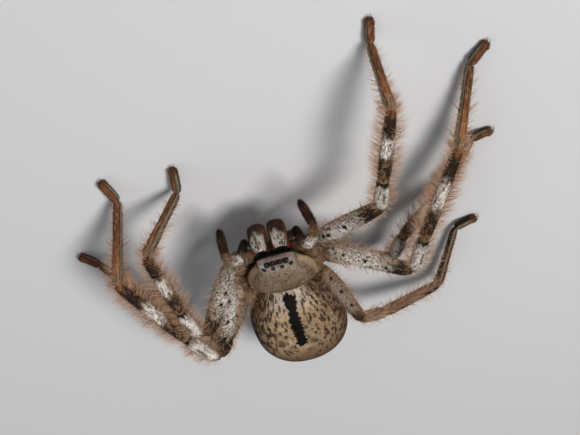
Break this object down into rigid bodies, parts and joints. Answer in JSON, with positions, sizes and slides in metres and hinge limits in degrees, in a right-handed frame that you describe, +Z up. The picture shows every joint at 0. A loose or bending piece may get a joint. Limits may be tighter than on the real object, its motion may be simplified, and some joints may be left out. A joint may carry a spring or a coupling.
{
  "type": "huntsman spider",
  "caption": "Life-size still model of a resting huntsman spider, legs spread forward in a low crouch, made of separate leg segments, palps, jaws, eyes and abdomen.",
  "frame": {"origin": "on the floor under the middle of the bounding box", "axes": "+Z up; the spider faces -Y; its left side is +X"},
  "size_m": [0.1038, 0.0896, 0.025],
  "materials": {
    "carapace": "velvety grey-tan hair",
    "sternum": "dull brown hair",
    "abdomen": "short cream and brown hair",
    "spinnerets": "dull brown",
    "chelicera": "satin reddish-brown horn",
    "fang": "polished black horn",
    "eye": "polished black",
    "femur": "hairy grey-white with black specks",
    "patella": "hairy pale grey",
    "tibia": "hairy, banded dark and pale",
    "metatarsus": "hairy orange-brown",
    "tarsus": "dense rusty hair",
    "palp": "hairy grey-brown"
  },
  "bodies": {
    "root": {"abdomen": "abdomen", "carapace": "carapace", "chelicera_left": "chelicera", "chelicera_right": "chelicera", "eye_front_middle_left": "eye", "eye_front_middle_right": "eye", "eye_front_side_left": "eye", "eye_front_side_right": "eye", "eye_rear_middle_left": "eye", "eye_rear_middle_right": "eye", "eye_rear_side_left": "eye", "eye_rear_side_right": "eye", "fang_left": "fang", "fang_right": "fang", "leg_left_1_femur": "femur", "leg_left_1_metatarsus": "metatarsus", "leg_left_1_patella": "patella", "leg_left_1_tarsus": "tarsus", "leg_left_1_tibia": "tibia", "leg_left_2_femur": "femur", "leg_left_2_metatarsus": "metatarsus", "leg_left_2_patella": "patella", "leg_left_2_tarsus": "tarsus", "leg_left_2_tibia": "tibia", "leg_left_3_femur": "femur", "leg_left_3_metatarsus": "metatarsus", "leg_left_3_patella": "patella", "leg_left_3_tarsus": "tarsus", "leg_left_3_tibia": "tibia", "leg_left_4_femur": "femur", "leg_left_4_metatarsus": "metatarsus", "leg_left_4_patella": "patella", "leg_left_4_tarsus": "tarsus", "leg_left_4_tibia": "tibia", "leg_right_1_femur": "femur", "leg_right_1_metatarsus": "metatarsus", "leg_right_1_patella": "patella", "leg_right_1_tarsus": "tarsus", "leg_right_1_tibia": "tibia", "leg_right_2_femur": "femur", "leg_right_2_metatarsus": "metatarsus", "leg_right_2_patella": "patella", "leg_right_2_tarsus": "tarsus", "leg_right_2_tibia": "tibia", "leg_right_3_femur": "femur", "leg_right_3_metatarsus": "metatarsus", "leg_right_3_patella": "patella", "leg_right_3_tarsus": "tarsus", "leg_right_3_tibia": "tibia", "leg_right_4_femur": "femur", "leg_right_4_metatarsus": "metatarsus", "leg_right_4_patella": "patella", "leg_right_4_tarsus": "tarsus", "leg_right_4_tibia": "tibia", "palp_left_arm": "palp", "palp_left_tarsus": "tarsus", "palp_right_arm": "palp", "palp_right_tarsus": "tarsus", "spinnerets": "spinnerets", "sternum": "sternum"}
  },
  "joints": []
}
